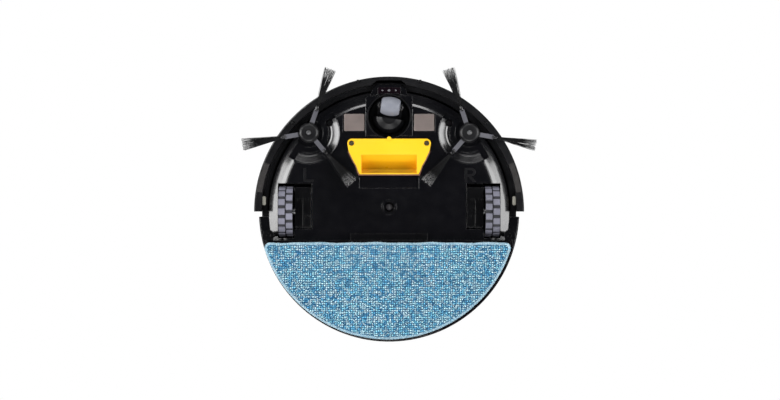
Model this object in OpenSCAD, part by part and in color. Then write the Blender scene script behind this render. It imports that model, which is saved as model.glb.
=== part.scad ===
// Disc robot vacuum with a suction inlet, two side brushes, a caster and a mop cloth.
// Frame: the origin is on the floor midway between the drive wheels, +Z is up,
// the bumper faces -Y and the dustbin comes out towards +Y.

/* [Body] */
// Radius of the rear body and the top cover
body_r = 145; // [144:0.5:146]
// Overall height above the floor
body_top = 81; // [80:0.5:83]
// Height of the flat underside above the floor
plate_z = 13; // [12.5:0.25:13]
// Radius of the underside's rim
rim_r = 133.6; // [133:0.2:134]
// Angle of the sloping border between the underside and its rim
slope_angle = 38; // [36:1:40]
// Thickness of the moulded shells
wall = 2.4; // [2.2:0.1:2.6]
// Height of the joint line between the chassis and the top cover
seam_z = 40; // [39:0.5:41]

/* [Bumper] */
// Outer radius of the bumper
bumper_r = 150; // [150:0.5:151]
// How far the bumper moves back when it is pressed
bumper_travel = 4; // [3:0.5:4]
// Height of the bumper's lower lip
bumper_z = 18; // [17:0.5:18.5]
// Inner radius of the lower lip
lip_r = 141.8; // [141.5:0.1:142]

/* [Drive wheels] */
// Distance of each drive wheel from the middle
wheel_x = 114.4; // [114:0.1:114.6]
// Radius of the tyre over its lugs
wheel_r = 28.5; // [28:0.1:28.5]
// Width of the tyre
wheel_w = 15.5; // [15:0.1:15.6]
// Lugs round each half of the tread
lug_count = 16; // [12:1:18]

/* [Caster] */
// Distance of the swivel axis in front of the drive axle
caster_y = 105.2; // [105:0.1:105.4]
// Radius of the caster wheel at its crown
caster_r = 10.5; // [10.2:0.1:10.6]
// Width of the caster wheel
caster_w = 21; // [20:0.5:21]
// Trail of the caster wheel from its swivel axis
caster_trail = 11.2; // [11:0.1:11.2]
// Angle that the caster has swivelled to
caster_turn = 8; // [0:1:12]

/* [Side brushes] */
// Distance of each side brush from the middle
brush_x = 89; // [88.5:0.1:89.2]
// Distance of each side brush in front of the drive axle
brush_y = 87.3; // [87:0.1:87.6]
// Reach of the bristles from the brush axis
brush_reach = 75; // [72:1:75.5]
// Angle of the left brush's first arm
brush_turn_l = 49.4; // [45:0.1:54]
// Angle of the right brush's first arm
brush_turn_r = 11; // [6:0.1:16]

/* [Suction inlet] */
// Half the width of the inlet plate at its front edge
inlet_half = 46.2; // [46:0.1:46.4]
// Distance of the plate's front edge in front of the drive axle
inlet_front = 80.6; // [80.4:0.1:80.8]
// Distance of the plate's rear edge in front of the drive axle
inlet_rear = 41.3; // [41.1:0.1:41.5]
// Half the width of the mouth
mouth_half = 30.7; // [30:0.1:31]

/* [Mop] */
// Radius of the mop cloth
cloth_r = 141; // [138:0.5:141.5]
// Distance of the cloth's front edge behind the drive axle
cloth_front = 33.7; // [33.5:0.1:34]
// How far the cloth lies off centre, towards the left
cloth_shift = 1.6; // [0:0.1:2]
// Thickness of the cloth
cloth_t = 4; // [3.6:0.1:4]

/* [Dustbin] */
// Half the width of the dustbin
bin_half = 70; // [69:0.5:70]
// Distance of the dustbin's front wall behind the drive axle
bin_front = 47.2; // [47.2:0.1:48]

/* [Hidden] */
$fn = 96;

// General allowances
eps = 0.01;
gap = 0.3;
run_fit = 0.05;
far = 400;
floor_t = 2.5;
floor_top = plate_z + floor_t;

// Underside border: a fillet leads from the flat plate into a straight slope
slope_rise = 11;
rim_z = plate_z + slope_rise;
fillet_r = 14;
slope_foot_r = rim_r - slope_rise / tan(slope_angle);
fillet_start_r = slope_foot_r - fillet_r * tan(slope_angle / 2);
fillet_steps = 6;
rim_t = 2.2;
inner_wall_r = 129;
inner_wall_t = 2.4;
inner_wall_top = body_top - 7.4;
shoulder_y = 6;

// Bumper section
bumper_wall_r = bumper_r - wall;
bumper_top = body_top - 7.8;
flange_r = 135.7;
flange_z = bumper_z + 9.5;
flange_t = 2;
lip_t = 2.5;
top_flange_r = inner_wall_r + bumper_travel + 1.5;
notch_front = 145.8;
notch_half_front = 13;
notch_half_rear = 20;
notch_rear = 140.6;
window_a = 55;
window_z = 47;
window_h = 15;
window_t = 1.2;
pad_a0 = 8.5;
pad_a1 = 21.5;
spring_x = 40;
spring_z = 45;
switch_a = 66;

// Wheel module
pivot_y = -50;
pivot_z = 30;
pivot_r = 2.5;
axle_r = 3;
arm_in = 86.6;
arm_out = 104.6;
arm_bottom = plate_z + 0.4;
arm_front = -27;
arm_back = 18.2;
slot_in = 105;
slot_out = 123.5;
slot_front = -31.3;
slot_back = 29.4;
window_in = 85.6;
window_back = 19.2;
motor_y = -36;
motor_z = 34;
motor_r = 12;
motor_in = 57;
hub_r = 21.8;
lug_h = 1.8;

// Caster
cup_r = 23.3;
cup_wall = 1.3;
cup_top = 35.5;
stem_r = 4;
cheek_t = 2.4;
cheek_gap = 0.6;
caster_pin_r = 1.6;

// Side brush dish, from its axis outwards
dish_z = 19;
dish_floor_r = 24.6;
dish_edge_r = 34.5;
pocket_r = 15;
ridge_r = 22;
brush_hub_r = 11.1;
brush_hub_z = 9.4;
arm_len = 27;
arm_w = 5;
arm_tilt = 9;
brush_arms = 3;
shaft_r = 2.5;

// Inlet
inlet_z = 11;
inlet_flange_t = 3.4;
port_z = 25;
port_top = 33.5;
mouth_front = 63;
duct_half = 28.5;
duct_z = 23.9;
duct_h = 11.4;

// Fan
fan_x = 60;
fan_y = 14;
fan_r = 24;
fan_z = 24;

// Mop bracket
mop_z = 5;
mop_top = plate_z - 0.4;
mop_r = 138.6;
mop_front = 31.6;
plug_x = 133;
plug_y = 26;
plug_r = 6.2;
plug_pin_r = 3;
cloth_corner_r = 7;

// Dustbin
bin_z = 27;
bin_top = 66;
bin_wall = 2;
lid_t = 2.6;
bay_wall = 2;

// Openings in the side wall, as angles from +X
jack_a = 150;
jack_z = 33;
jack_body_r = 5;
jack_hole_r = 2.85;
rocker_a = 141;
rocker_z = 33;

// Screws
screw_head_r = 3.1;
screw_r = 1.5;
deep_screw_x = 66.4;
deep_screw_y = -98.4;
deep_screw_r = 4.2;
centre_screw_y = -5;
centre_hole_r = 6.2;
inlet_screw_x = 41.6;
inlet_screw_y = -75.7;

// Colours
black_plastic = [0.055, 0.055, 0.065];
soft_black = [0.09, 0.09, 0.1];
yellow_plastic = [1, 0.83, 0.16];
tyre_grey = [0.55, 0.55, 0.6];
contact_metal = [0.66, 0.6, 0.58];
steel = [0.75, 0.76, 0.78];
cloth_blue = [0.49, 0.7, 0.85];
ivory = [0.9, 0.88, 0.8];

// ---------- shapes that repeat ----------

module ring(r_out, r_in, h) {
    difference() {
        cylinder(r = r_out, h = h);
        translate([0, 0, -1]) cylinder(r = r_in, h = h + 2);
    }
}

module box(lo, hi) {
    translate(lo) cube(hi - lo);
}

// Rectangle with true round corners, centred
module round_rect(w, l, r) {
    square([w - 2 * r, l], center = true);
    square([w, l - 2 * r], center = true);
    for (x = [-1, 1], y = [-1, 1])
        translate([x * (w / 2 - r), y * (l / 2 - r)]) circle(r = r);
}

module round_box(w, l, h, r) {
    linear_extrude(h) round_rect(w, l, r);
}

// Wedge between two angles, used to cut rings into arcs
module wedge(a0, a1, h) {
    steps = 6;
    linear_extrude(h) polygon([
        [0, 0],
        for (i = [0 : steps]) let (a = a0 + (a1 - a0) * i / steps) [far * cos(a), far * sin(a)]
    ]);
}

module half_space(y, front) {
    translate([-far, front ? y - far : y, -far]) cube([2 * far, far, 2 * far]);
}

module along_x(h) {
    rotate([90, 0, 90]) linear_extrude(h) children();
}

module radial(a, r) {
    rotate([0, 0, a]) translate([r, 0, 0]) children();
}

module on_side(side) {
    if (side < 0) mirror([1, 0, 0]) children();
    else children();
}

module both_sides() {
    for (side = [-1, 1]) on_side(side) children();
}

// Screw that points up, with its head's underside at z = 0 and a cross recess
module screw(head_r, head_t, shaft_r, shaft_len) {
    difference() {
        cylinder(r = head_r, h = head_t);
        for (a = [0, 90]) rotate([0, 0, a])
            translate([-head_r * 0.55, -0.35, -eps]) cube([head_r * 1.1, 0.7, head_t * 0.55]);
    }
    translate([0, 0, head_t - eps]) cylinder(r = shaft_r, h = shaft_len);
}

// Coil that stands on z = 0
module coil(r, wire_r, turns, h) {
    linear_extrude(h, twist = -360 * turns, slices = round(turns * 12), $fn = 8)
        translate([r, 0]) circle(r = wire_r, $fn = 6);
}

// ---------- chassis ----------

function fillet_point(i) =
    let (a = slope_angle * i / fillet_steps)
    [fillet_start_r + fillet_r * sin(a), plate_z + fillet_r * (1 - cos(a))];

// Radii and heights along the underside, from the axis out to the rim
underside = [
    [0, plate_z],
    for (i = [0 : fillet_steps]) fillet_point(i),
    [rim_r, rim_z]
];

// Everything from just above the underside, up to a height
module above_underside(top) {
    translate([0, 0, 1]) rotate_extrude() polygon([each underside, [rim_r, top - 1], [0, top - 1]]);
}

module chassis_shell() {
    inner_r = inner_wall_r - inner_wall_t;
    inner = [for (i = [fillet_steps : -1 : 0]) fillet_point(i) + [-1, floor_t]];
    rotate_extrude() polygon([
        each underside,
        [rim_r, rim_z + rim_t],
        [inner_wall_r, rim_z + rim_t],
        [inner_wall_r, inner_wall_top],
        [inner_r, inner_wall_top],
        [inner_r, rim_z - 1.4],
        each inner,
        [0, floor_top]
    ]);
}

module rear_flange() {
    intersection() {
        union() {
            rotate_extrude() polygon([
                [rim_r - 1, rim_z], [body_r - 1.2, rim_z], [body_r, rim_z + 1.2], [body_r, seam_z],
                [body_r - wall, seam_z], [body_r - wall, rim_z + wall], [rim_r - 1, rim_z + wall]
            ]);
            intersection() {
                translate([0, 0, rim_z]) ring(body_r - 0.2, inner_wall_r - 1, seam_z - rim_z);
                box([-far, shoulder_y, 0], [far, shoulder_y + wall, seam_z]);
            }
        }
        half_space(shoulder_y, false);
    }
}

module nose() {
    translate([0, 0, rim_z - 2.2]) linear_extrude(rim_t + 2.2) polygon([
        [-20.5, -130], [-18, -136.8], [-12, -141], [12, -141], [18, -136.8], [20.5, -130]
    ]);
}

// Half-widths and distances of the inlet plate's outline, front to rear
function inlet_side(e) = [
    [inlet_half - 5, -inlet_front - e],
    for (a = [72 : -18 : 0]) [inlet_half - 5 + (5 + e) * cos(a), -inlet_front + 5 - (5 + e) * sin(a)],
    [44.8 + e, -67.3],
    [40.2 + e, -57.3],
    [36.2 + e, -50.2],
    [34.2 + e, -44.5],
    [32.6 + e, -inlet_rear + e]
];

module inlet_outline(e) {
    side = inlet_side(e);
    last = len(side) - 1;
    polygon([each side, for (i = [last : -1 : 0]) [-side[i][0], side[i][1]]]);
}

// Round pocket that each side brush sits in, with a deeper middle
module brush_pockets() {
    both_sides() translate([brush_x, -brush_y, -1]) {
        cylinder(r = dish_edge_r, h = dish_z + 1);
        cylinder(r = pocket_r, h = dish_z + 2.2);
    }
}

// Sloping wall and raised ring inside each pocket, left out where the pocket opens to the bumper
module brush_dishes() {
    intersection() {
        both_sides() translate([brush_x, -brush_y, 0]) {
            rotate_extrude() polygon([
                [dish_floor_r, dish_z + 0.5], [dish_floor_r, dish_z - 0.1],
                [dish_floor_r + 1.6, dish_z - 0.7], [dish_edge_r - 1.5, plate_z + 0.6],
                [dish_edge_r - 0.3, plate_z + 0.2], [dish_edge_r + 1.5, plate_z + 0.2],
                [dish_edge_r + 1.5, dish_z + 0.5]
            ]);
            translate([0, 0, dish_z - 0.8]) ring(ridge_r + 0.5, ridge_r - 0.5, 1.2);
            translate([0, 0, dish_z - 0.6]) ring(pocket_r + 0.9, pocket_r + 0.1, 1);
        }
        cylinder(r = fillet_start_r + 4.8, h = 60);
    }
}

module chassis_bosses() {
    // thick ground over each brush pocket, in steps that follow the border's slope
    intersection() {
        both_sides() translate([brush_x, -brush_y, 0]) cylinder(r = dish_edge_r + 2, h = 60);
        rotate_extrude() polygon([
            [0, floor_top - 1], [117, floor_top - 1], [117, 16], [121, 16], [121, 18], [125.6, 18],
            [125.6, dish_z + 2.3], [0, dish_z + 2.3]
        ]);
    }
    both_sides() translate([brush_x, -brush_y, dish_z + 1.6]) cylinder(r = 7.6, h = 23.4);
    both_sides() translate([deep_screw_x, deep_screw_y, floor_top - 1]) cylinder(r = 6.6, h = 20);
    translate([0, centre_screw_y, plate_z - 0.4]) cylinder(r = 8.5, h = 10.8);
    translate([0, -caster_y, floor_top - 1]) cylinder(r = 27.5, h = 5);
    translate([0, 0, floor_top - 1]) linear_extrude(3) inlet_outline(5);
    both_sides() translate([inlet_screw_x, inlet_screw_y, floor_top]) cylinder(r = 3.6, h = 8);
    // caster land, bounded by the edges of the contact recesses
    box([-25.8, -128, plate_z - 0.5], [25.8, -inlet_front - 3.4, plate_z + 1]);
    both_sides() translate([44, -46, floor_top - 1]) cylinder(r = 3, h = 45.4);
    both_sides() translate([42, 41, floor_top - 1]) cylinder(r = 3, h = 45.4);
    // ears that hold the suspension pivots
    both_sides() for (x = [84, 104.9])
        box([x, pivot_y - 5, floor_top - 1], [x + 2.9, pivot_y + 5, pivot_z + 5.5]);
}

module bin_bay() {
    intersection() {
        both_sides() union() {
            box([bin_half + 1.5, bin_front + 0.5, floor_top - 1],
                [bin_half + 1.5 + bay_wall, 130, bin_top + 4]);
            box([bin_half - 10, bin_front + 0.5, floor_top - 1], [bin_half - 4, 142, bin_z - gap]);
        }
        union() {
            above_underside(rim_z);
            translate([0, 0, rim_z - eps]) cylinder(r = inner_wall_r - 1, h = 60);
            translate([0, 0, rim_z - eps]) cylinder(r = body_r - 1, h = 3);
        }
    }
}

module chassis_cuts() {
    // shaft holes and gearcase pockets of the side brushes
    both_sides() translate([brush_x, -brush_y, 0]) {
        cylinder(r = 4, h = 40);
        translate([0, 0, 22]) cylinder(r = 6, h = 29.5);
    }
    intersection() {
        both_sides() translate([brush_x, -brush_y, 22]) brush_gearcase(0.6, 30);
        cylinder(r = inner_wall_r - inner_wall_t + 0.5, h = 60);
    }
    both_sides() translate([deep_screw_x, deep_screw_y, 0]) {
        cylinder(r = deep_screw_r, h = 29);
        cylinder(r = screw_r + 0.1, h = 60);
    }
    // centre screw, with the shallow dish round its collar
    translate([0, centre_screw_y, 0]) {
        cylinder(r = centre_hole_r, h = 19.5);
        cylinder(r = screw_r + 0.1, h = 60);
    }
    translate([0, centre_screw_y, 0]) difference() {
        rotate_extrude() polygon([[0, 0], [20, 0], [20, plate_z], [13, plate_z + 0.7], [0, plate_z + 0.7]]);
        cylinder(r = 8.5, h = 20);
    }
    translate([0, -caster_y, 0]) cylinder(r = cup_r + cup_wall + 0.1, h = 60);
    // recess, gap and opening of the suction inlet
    linear_extrude(inlet_z + inlet_flange_t + gap) inlet_outline(0.5);
    intersection() {
        linear_extrude(inlet_z + inlet_flange_t + gap) inlet_outline(2.6);
        half_space(-67, false);
    }
    box([-mouth_half - 2.4, -mouth_front - 3, 0], [mouth_half + 2.4, -inlet_rear + 0.4, 50]);
    box([-33, -inlet_rear, 0], [33, -26, plate_z + 0.8]);
    both_sides() translate([inlet_screw_x, inlet_screw_y, 0]) cylinder(r = 1.3, h = 22);
    // charging contact recesses, open towards the bumper
    both_sides() box([26, -128, 0], [51.2, -88.4, plate_z + 0.9]);
    box([-13, -138.3, 0], [13, -131, 60]);
    // wheel slots and gearcase windows
    both_sides() {
        box([slot_in, slot_front, -1], [slot_out, slot_back, 60]);
        box([window_in, slot_front, -1], [slot_in + 1, window_back, 60]);
        translate([0, pivot_y, pivot_z]) rotate([0, 90, 0]) cylinder(r = pivot_r, h = 110);
        translate([plug_x, plug_y, 0]) cylinder(r = plug_pin_r + 0.4, h = 60);
    }
    // opening that the dustbin slides through
    box([-bin_half - 1.5, 80, bin_z - gap], [bin_half + 1.5, far, inner_wall_top + 1]);
    radial(jack_a, 120) translate([0, 0, jack_z]) rotate([0, 90, 0]) cylinder(r = jack_body_r, h = 40);
    radial(rocker_a, 132) box([-6, -7.4, rocker_z - 4.7], [20, 7.4, rocker_z + 4.7]);
    for (a = [34 : 4 : 54]) radial(a, 120) box([0, -2.2, 28.5], [40, 2.2, 37.5]);
}

module chassis_base() {
    color(black_plastic) difference() {
        union() {
            difference() {
                union() {
                    chassis_shell();
                    rear_flange();
                    nose();
                    chassis_bosses();
                    bin_bay();
                }
                brush_pockets();
            }
            brush_dishes();
            for (x = [-25, 0, 25], dx = [-1.9, 1.9])
                translate([x + dx, -32.4, plate_z + 0.2]) cylinder(r = 0.9, h = 2);
        }
        chassis_cuts();
    }
}

module caster_cup() {
    color(black_plastic) translate([0, -caster_y, 0]) difference() {
        union() {
            translate([0, 0, plate_z - 0.9]) cylinder(r = cup_r + cup_wall, h = cup_top - plate_z + 0.9);
            translate([0, 0, cup_top - eps]) cylinder(r = 8, h = 13);
            // flange that holds the cup down, left out where the border slopes up
            intersection() {
                translate([0, 0, floor_top + 4.1]) cylinder(r = cup_r + 4, h = 2);
                box([-40, -15, 0], [40, 40, 60]);
            }
        }
        cylinder(r = cup_r, h = cup_top - 2.4);
        cylinder(r = stem_r + run_fit, h = 60);
    }
}

module charge_contacts() {
    color(contact_metal) both_sides()
        translate([38.7, -98.7, plate_z]) round_box(22, 18.7, 0.9, 0.8);
}

module cliff_sensor_lens() {
    color([0.12, 0.08, 0.1]) translate([0, -134.6, rim_z - 2.6]) round_box(25, 7, 3, 1);
}

module chassis_screws() {
    color(steel) {
        both_sides() translate([deep_screw_x, deep_screw_y, 26.6]) screw(screw_head_r, 2.4, screw_r, 5);
        translate([0, centre_screw_y, 17]) screw(screw_head_r + 0.4, 2.5, screw_r, 4);
    }
}

module battery_pack() {
    color([0.13, 0.35, 0.6]) box([-84, -21, floor_top + 0.1], [-47.6, 45, floor_top + 37.4]);
}

// Lead from the battery's top to the main board's edge
module battery_lead() {
    color([0.7, 0.1, 0.1]) {
        translate([-52, 12, floor_top + 37.4]) cylinder(r = 1.6, h = 2);
        translate([-52, 12, floor_top + 39.4]) sphere(r = 1.6);
        translate([-52, 12, floor_top + 39.4]) rotate([0, 63, 0]) cylinder(r = 1.6, h = 5.6);
    }
}

module main_board() {
    color([0.05, 0.3, 0.15]) difference() {
        union() {
            box([-47, -52, 60.1], [47, 45, 61.7]);
            box([-24, -10, 61.7], [-4, 10, 63.5]);
            box([12, -40, 61.7], [34, -28, 69]);
            box([-6, -61, 60.1], [6, -50, 61.7]);
            box([-3, -59, 61.7], [3, -53, 64.7]);
        }
        both_sides() {
            translate([44, -46, 50]) cylinder(r = 1.6, h = 20);
            translate([42, 41, 50]) cylinder(r = 1.6, h = 20);
        }
    }
}

// ---------- suction path ----------

module suction_inlet() {
    mouth = [[-mouth_front, inlet_z - 1], [-mouth_front, inlet_z], [-47, port_top + 0.4],
        [-inlet_rear - 1.3, port_top + 0.4], [-inlet_rear - 1.3, inlet_z - 1]];
    shell = [[-mouth_front - 1.6, inlet_z + 1], [-49, port_top + 2], [-inlet_rear, port_top + 2],
        [-inlet_rear, inlet_z + 1]];
    color(yellow_plastic) difference() {
        union() {
            translate([0, 0, inlet_z]) linear_extrude(inlet_flange_t) inlet_outline(0);
            translate([-mouth_half - 1.6, 0, 0]) along_x(2 * mouth_half + 3.2) polygon(shell);
            translate([0, -inlet_front, inlet_z - 0.6]) cylinder(r = 2.4, h = 1.6);
        }
        translate([-mouth_half, 0, 0]) along_x(2 * mouth_half) polygon(mouth);
        box([-26, -inlet_rear - 2, port_z], [26, -inlet_rear + 1, port_top]);
        both_sides() translate([inlet_screw_x, inlet_screw_y, 0]) {
            cylinder(r = 1.5, h = 30);
            translate([0, 0, inlet_z - 1]) cylinder(r = 3, h = 2);
        }
    }
}

module inlet_gasket() {
    color([0.4, 0.27, 0.24]) intersection() {
        translate([0, 0, inlet_z + 0.8]) linear_extrude(inlet_flange_t - 0.8) difference() {
            inlet_outline(1.3);
            inlet_outline(0.05);
        }
        half_space(-66.5, false);
    }
}

module inlet_screws() {
    color(steel) both_sides()
        translate([inlet_screw_x, inlet_screw_y, inlet_z - 0.4]) screw(2.6, 1.3, 1.2, 9);
}

module suction_duct() {
    outer = [[-inlet_rear + gap, duct_z], [32, duct_z], [bin_front - gap, 30], [bin_front - gap, 47],
        [40, 47], [26, duct_z + duct_h], [-inlet_rear + gap, duct_z + duct_h]];
    inner = [[-inlet_rear - 1, duct_z + 1.4], [31.5, duct_z + 1.4], [bin_front - 4, 31],
        [bin_front + 1, 31], [bin_front + 1, 45.6], [40.6, 45.6], [26.6, duct_z + duct_h - 1.4],
        [-inlet_rear - 1, duct_z + duct_h - 1.4]];
    color(soft_black) difference() {
        translate([-duct_half, 0, 0]) along_x(2 * duct_half) polygon(outer);
        translate([1.6 - duct_half, 0, 0]) along_x(2 * duct_half - 3.2) polygon(inner);
    }
}

module fan_housing() {
    color(soft_black) difference() {
        union() {
            translate([fan_x, fan_y, fan_z]) cylinder(r = fan_r, h = 18);
            box([fan_x - 12, fan_y - 12, fan_z + 17], [fan_x + 12, bin_front - gap, fan_z + 30]);
            box([fan_x + 9, fan_y, fan_z + 1], [fan_x + 23.6, bin_front - gap, fan_z + 16]);
        }
        translate([fan_x, fan_y, fan_z + 2]) cylinder(r = fan_r - 1.8, h = 14);
        translate([fan_x, fan_y, fan_z - 1]) cylinder(r = 3, h = 5);
        translate([fan_x, fan_y, fan_z + 10]) cylinder(r = 9.5, h = 12);
        box([fan_x - 10.4, fan_y - 10.4, fan_z + 18.6], [fan_x + 10.4, bin_front + 1, fan_z + 28.4]);
        box([fan_x + 10.6, fan_y, fan_z + 2.6], [fan_x + 22, bin_front + 1, fan_z + 14.4]);
    }
}

module fan_motor() {
    color(steel) translate([fan_x, fan_y, floor_top + 0.1]) difference() {
        cylinder(r = 13, h = fan_z - floor_top - 0.2);
        translate([0, 0, 1.5]) cylinder(r = 1.5 + run_fit, h = 20);
    }
}

module impeller() {
    color([0.85, 0.85, 0.82]) translate([fan_x, fan_y, 0]) {
        translate([0, 0, floor_top + 2]) cylinder(r = 1.5, h = fan_z - floor_top + 2);
        translate([0, 0, fan_z + 3.4]) cylinder(r = fan_r - 4.4, h = 1.4);
        translate([0, 0, fan_z + 3.4]) cylinder(r = 5, h = 9);
        for (a = [0 : 40 : 320]) rotate([0, 0, a])
            translate([4.6, 0, fan_z + 4.6]) rotate([0, 0, 28]) cube([13, 1, 8]);
    }
}

// ---------- side brushes ----------

// Gearcase outline in the brush's own frame, running from its shaft towards the body's middle
module brush_gearcase(grow, h) {
    rotate([0, 0, 180 - atan2(brush_y, brush_x)]) union() {
        cylinder(r = 5.6 + grow / 2, h = h);
        translate([1.5 - grow, -12 - grow, 0]) cube([32.5 + 2 * grow, 24 + 2 * grow, h]);
    }
}

module brush_motor(side) {
    lift = 22.3;
    color([0.3, 0.31, 0.33]) on_side(side) translate([brush_x, -brush_y, lift]) difference() {
        union() {
            brush_gearcase(0, 17);
            rotate([0, 0, 180 - atan2(brush_y, brush_x)]) translate([21, 0, 16.9]) cylinder(r = 10, h = 22);
        }
        translate([0, 0, -1]) cylinder(r = shaft_r + run_fit, h = 14);
    }
}

module brush_hub(side, turn) {
    dome = [for (a = [0 : 15 : 90]) [brush_hub_r - 4 + 4 * sin(a), brush_hub_z + 4 - 4 * cos(a)]];
    color(soft_black) translate([side * brush_x, -brush_y, 0]) difference() {
        union() {
            rotate_extrude() polygon([
                [0, brush_hub_z],
                each dome,
                [brush_hub_r, brush_hub_z + 8.4],
                [0, brush_hub_z + 8.4]
            ]);
            translate([0, 0, brush_hub_z + 8]) cylinder(r = shaft_r, h = 16);
            for (i = [0 : brush_arms - 1]) rotate([0, 0, turn + 360 / brush_arms * i])
                translate([0, 0, brush_hub_z + 4]) rotate([0, arm_tilt, 0])
                translate([6, -arm_w / 2, -1.2]) cube([arm_len - 6, arm_w, 2.4]);
        }
        translate([0, 0, brush_hub_z - 1]) cylinder(r = 3.1, h = 3);
        translate([0, 0, brush_hub_z - 1]) cylinder(r = 1.25, h = 14);
    }
}

module brush_bristles(side, turn) {
    fan = [[arm_len + 0.1, -1.7], [brush_reach, -5], [brush_reach, 5], [arm_len + 0.1, 1.7]];
    color([0.1, 0.1, 0.1]) translate([side * brush_x, -brush_y, 0])
        for (i = [0 : brush_arms - 1]) rotate([0, 0, turn + 360 / brush_arms * i])
            translate([0, 0, brush_hub_z + 4]) rotate([0, arm_tilt, 0])
            translate([0, 0, -0.8]) linear_extrude(1.6) polygon(fan);
}

module brush_screw(side) {
    color(steel) translate([side * brush_x, -brush_y, brush_hub_z + 0.2]) screw(2.6, 1.6, 1.2, 9);
}

// ---------- wheels ----------

module pivot_pins() {
    color(steel) both_sides()
        translate([84, pivot_y, pivot_z]) rotate([0, 90, 0]) cylinder(r = pivot_r, h = 23.8);
}

module suspension_springs() {
    color(steel) both_sides() translate([93, pivot_y, pivot_z]) {
        rotate([0, 90, 0]) coil(3.7, 0.7, 5, 6.4);
        translate([0.4, -3.7, -8.5]) cylinder(r = 0.6, h = 8.1);
    }
}

module wheel_arm(side) {
    case = [[-40, 24], [-29.6, 23.6], [arm_front + 0.4, arm_bottom], [arm_back - 1, arm_bottom],
        [arm_back, arm_bottom + 1.2], [arm_back, 36], [9, 46], [-20, 46], [-40, 39]];
    color(black_plastic) on_side(side) difference() {
        union() {
            translate([arm_in, 0, 0]) along_x(arm_out - arm_in) polygon(case);
            translate([88, 0, 0]) along_x(16) polygon([[pivot_y, pivot_z - 6], [-39.9, 24],
                [-39.9, 39], [pivot_y, pivot_z + 6]]);
            translate([88, pivot_y, pivot_z]) rotate([0, 90, 0]) cylinder(r = 6, h = 16);
        }
        translate([80, pivot_y, pivot_z]) rotate([0, 90, 0]) cylinder(r = pivot_r + run_fit, h = 30);
        box([91.4, pivot_y - 8, 10], [100.6, pivot_y + 5.8, 50]);
        translate([80, 0, wheel_r]) rotate([0, 90, 0]) cylinder(r = axle_r + run_fit, h = 30);
        // raised panels of the gearcase's underside
        box([arm_in - 1, -14, arm_bottom - 1], [arm_out + 1, -12.9, arm_bottom + 0.9]);
        box([arm_in + 8, -13, arm_bottom - 1], [arm_in + 9, arm_back + 1, arm_bottom + 0.7]);
        box([arm_in - 1, 4.4, arm_bottom - 1], [arm_in + 8.5, 5.4, arm_bottom + 0.7]);
    }
}

module wheel_motor(side) {
    color(steel) on_side(side) translate([motor_in, motor_y, motor_z]) rotate([0, 90, 0]) {
        cylinder(r = motor_r, h = arm_in - motor_in - 3.1);
        cylinder(r = 6.5, h = arm_in - motor_in - 0.1);
        translate([0, 0, -4]) cylinder(r = 5, h = 4.1);
    }
}

module wheel_axle(side) {
    color(steel) on_side(side) translate([arm_in + 0.4, 0, wheel_r]) rotate([0, 90, 0]) {
        cylinder(r = axle_r, h = wheel_x + 6 - arm_in);
        translate([0, 0, arm_out - arm_in]) cylinder(r = axle_r + 1.5, h = 0.9);
    }
}

module wheel_hub(side) {
    inner = wheel_x - wheel_w / 2;
    color([0.12, 0.12, 0.13]) on_side(side) translate([0, 0, wheel_r]) rotate([0, 90, 0]) difference() {
        translate([0, 0, inner + 0.5]) cylinder(r = hub_r, h = wheel_w - 1);
        translate([0, 0, wheel_x + 3.6]) ring(hub_r - 2.4, 7, 10);
        translate([0, 0, inner - 9.4]) ring(hub_r - 2.4, 7, 12);
        cylinder(r = axle_r, h = wheel_x + 6.4);
        for (a = [0 : 60 : 300]) rotate([0, 0, a]) translate([14, 0, 0]) cylinder(r = 3.2, h = 200);
    }
}

// Outline of one half of the tread, with its lugs turned by a given angle
module tread_outline(turn) {
    pitch = 360 / lug_count;
    top = [-0.3, -0.1, 0.1, 0.3];
    polygon([for (i = [0 : lug_count - 1]) let (a = i * pitch + turn) each [
        (wheel_r - lug_h) * [cos(a - 0.36 * pitch), sin(a - 0.36 * pitch)],
        for (t = top) wheel_r * [cos(a + t * pitch), sin(a + t * pitch)],
        (wheel_r - lug_h) * [cos(a + 0.36 * pitch), sin(a + 0.36 * pitch)]
    ]]);
}

module tyre(side) {
    half_w = wheel_w / 2 - 0.6;
    color(tyre_grey) on_side(side) translate([wheel_x, 0, wheel_r]) rotate([0, 90, 0]) difference() {
        union() {
            translate([0, 0, 0.6]) linear_extrude(half_w) tread_outline(0);
            translate([0, 0, -0.6 - half_w]) linear_extrude(half_w) tread_outline(180 / lug_count);
            translate([0, 0, -wheel_w / 2 + 0.4]) cylinder(r = wheel_r - lug_h - 0.1, h = wheel_w - 0.8);
        }
        translate([0, 0, -wheel_w]) cylinder(r = hub_r, h = 2 * wheel_w);
    }
}

// ---------- caster ----------

module at_caster() {
    translate([0, -caster_y, 0]) rotate([0, 0, caster_turn]) children();
}

module caster_fork() {
    half = caster_w / 2 + cheek_gap;
    color([0.11, 0.11, 0.12]) at_caster() difference() {
        union() {
            translate([0, 0, 27.4]) cylinder(r = 21.4, h = 3.4);
            translate([0, 0, 30]) cylinder(r = stem_r, h = 17.4);
            // dome behind the wheel
            intersection() {
                rotate_extrude() polygon([[0, 15.5], [8, 16.2], [14, 18.6], [18, 22.6], [20, 28], [0, 28]]);
                half_space(1.6, false);
            }
            for (side = [-1, 1]) on_side(side) {
                translate([half, 0, 0]) along_x(cheek_t) polygon([[-caster_trail - 4.4, caster_r],
                    [-caster_trail + 4.4, caster_r], [3, 27.5], [-caster_trail - 5, 27.5]]);
                translate([half, -caster_trail, caster_r]) rotate([0, 90, 0]) cylinder(r = 4.4, h = cheek_t);
            }
        }
        translate([-far, -caster_trail, caster_r]) rotate([0, 90, 0]) cylinder(r = caster_pin_r, h = 2 * far);
    }
}

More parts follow.
